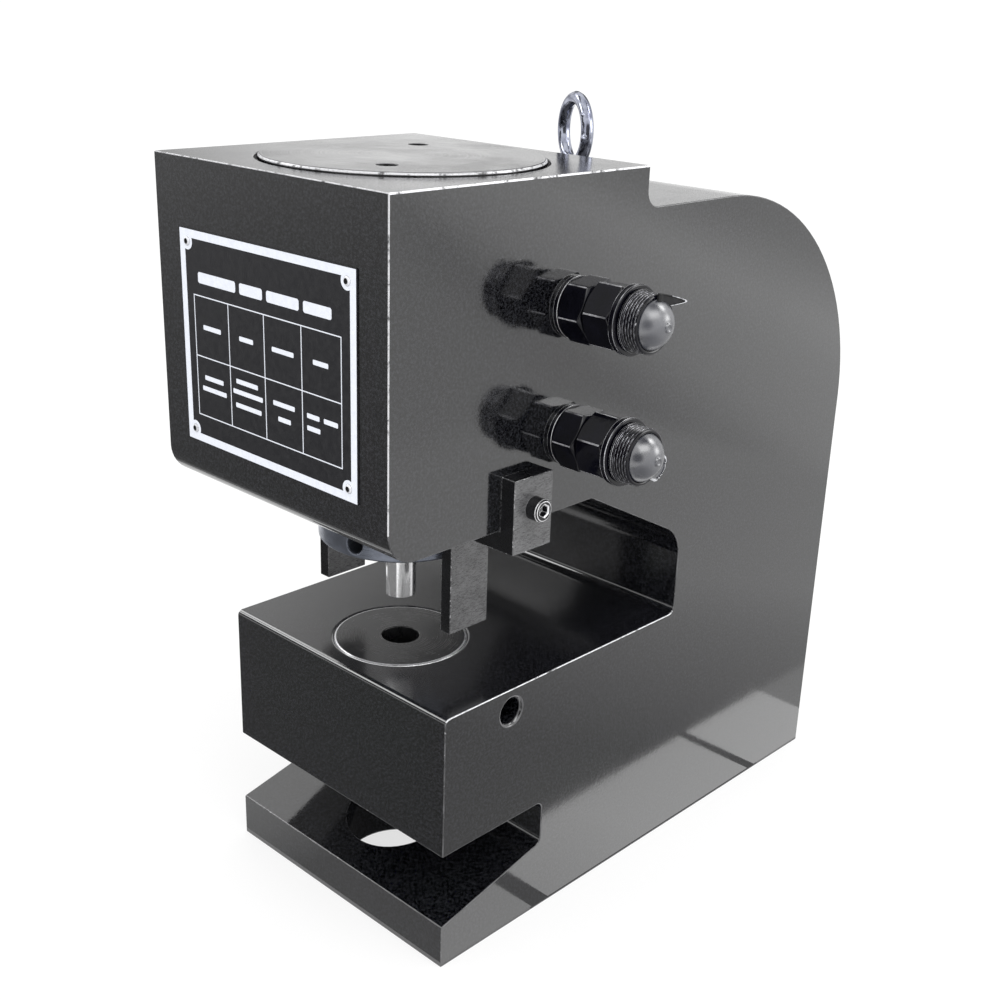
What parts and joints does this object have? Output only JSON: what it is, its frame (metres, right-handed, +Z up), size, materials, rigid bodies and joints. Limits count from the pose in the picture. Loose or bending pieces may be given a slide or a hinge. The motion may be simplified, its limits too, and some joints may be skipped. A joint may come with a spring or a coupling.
{
  "type": "hydraulic punching machine",
  "caption": "Bench hydraulic punch: C-shaped steel frame with cylinder, ram, punch and die, side strippers, hose couplers and a lifting eye.",
  "frame": {"origin": "centre of the foot's underside, on the floor", "axes": "+Z up along the ram, -Y towards the open throat and the nameplate, +X towards the hose couplers"},
  "size_m": [0.2722, 0.4249, 0.482],
  "materials": {
    "frame_paint": "semi-gloss",
    "cap_paint": "semi-gloss",
    "ram_steel": "satin",
    "punch_steel": "polished",
    "die_steel": "blackened, satin",
    "bronze": "satin",
    "seal_rubber": "matt",
    "black_rubber": "matt",
    "plug_rubber": "smooth",
    "screw_steel": "blackened",
    "stripper_steel": "blackened, ground",
    "plated_steel": "bright plated",
    "plate_print": "printed black",
    "rivet_metal": "satin",
    "coupler_steel": "blackened, glossy",
    "spring_steel": "bright",
    "ball_steel": "polished"
  },
  "bodies": {
    "frame": {"c_frame": "frame_paint", "cylinder_cap": "cap_paint", "cap_seal": "seal_rubber", "gland_ring": "bronze", "gland_seal": "seal_rubber", "rod_seal": "seal_rubber", "rod_wiper": "black_rubber", "die": "die_steel", "die_set_screw": "screw_steel", "stripper_right": "stripper_steel", "stripper_left": "stripper_steel", "stripper_screw_right": "screw_steel", "stripper_screw_left": "screw_steel", "eye_bolt": "plated_steel", "nameplate": "plate_print", "nameplate_rivets": "rivet_metal", "upper_port_washer": "coupler_steel", "upper_adapter": "coupler_steel", "upper_adapter_seal": "seal_rubber", "upper_coupler": "coupler_steel", "upper_check_spring": "spring_steel", "upper_dust_plug": "plug_rubber", "lower_port_washer": "coupler_steel", "lower_adapter": "coupler_steel", "lower_adapter_seal": "seal_rubber", "lower_coupler": "coupler_steel", "lower_check_spring": "spring_steel", "lower_dust_plug": "plug_rubber"},
    "ram_unit": {"ram": "ram_steel", "piston_seal": "seal_rubber", "piston_guide_ring": "bronze", "punch": "punch_steel", "punch_set_screw": "screw_steel"},
    "upper_ball": {"upper_check_ball": "ball_steel"},
    "lower_ball": {"lower_check_ball": "ball_steel"}
  },
  "joints": [
    {"name": "ram_slide", "type": "slide", "parent": "frame", "child": "ram_unit", "axis": [0, 0, -1], "range_m": [0, 0.03]},
    {"name": "upper_ball_slide", "type": "slide", "parent": "frame", "child": "upper_ball", "axis": [-1, 0, 0], "range_m": [0, 0.003], "stiffness_N_per_m": 1000, "springref_m": -0.003, "deforming": ["upper_check_spring"]},
    {"name": "lower_ball_slide", "type": "slide", "parent": "frame", "child": "lower_ball", "axis": [-1, 0, 0], "range_m": [0, 0.003], "stiffness_N_per_m": 1000, "springref_m": -0.003, "deforming": ["lower_check_spring"]}
  ]
}
